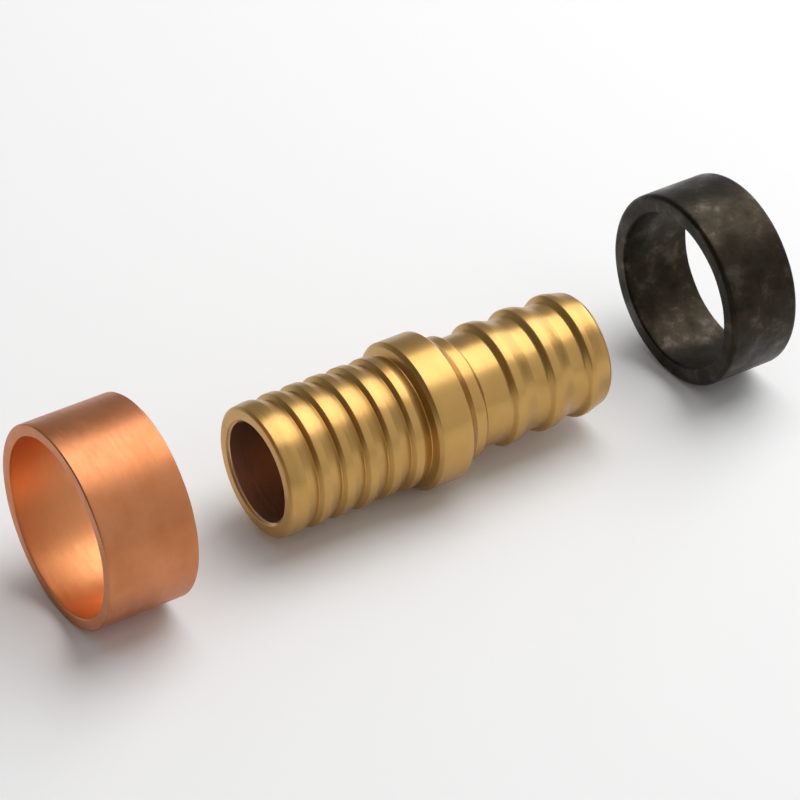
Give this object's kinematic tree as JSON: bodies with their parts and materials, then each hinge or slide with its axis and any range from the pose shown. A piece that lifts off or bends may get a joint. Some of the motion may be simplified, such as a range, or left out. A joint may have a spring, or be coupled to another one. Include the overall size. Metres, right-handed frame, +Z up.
{
  "type": "crimp transition coupling",
  "caption": "Brass barbed insert coupling for polybutylene and PEX tube, lying in a row with its copper and black crimp rings.",
  "frame": {"origin": "on the table, under the middle of the row", "axes": "+X along the row from the copper ring to the black ring, +Z up from the table"},
  "size_m": [0.074, 0.019, 0.019],
  "materials": {
    "turned_brass": "machined, semi-bright",
    "bright_copper": "drawn tube, softly brushed",
    "black_oxide": "matte black oxide on copper, mottled"
  },
  "bodies": {
    "coupling_body": {"coupling_body": "turned_brass"},
    "copper_crimp_ring": {"copper_crimp_ring": "bright_copper"},
    "black_crimp_ring": {"black_crimp_ring": "black_oxide"}
  },
  "joints": [
    {"name": "copper_ring_slide", "type": "slide", "parent": "coupling_body", "child": "copper_crimp_ring", "axis": [0.9992, 0, -0.039], "range_m": [0, 0.02307]},
    {"name": "black_ring_slide", "type": "slide", "parent": "coupling_body", "child": "black_crimp_ring", "axis": [-0.9984, 0, -0.0562], "range_m": [0, 0.02314]}
  ]
}
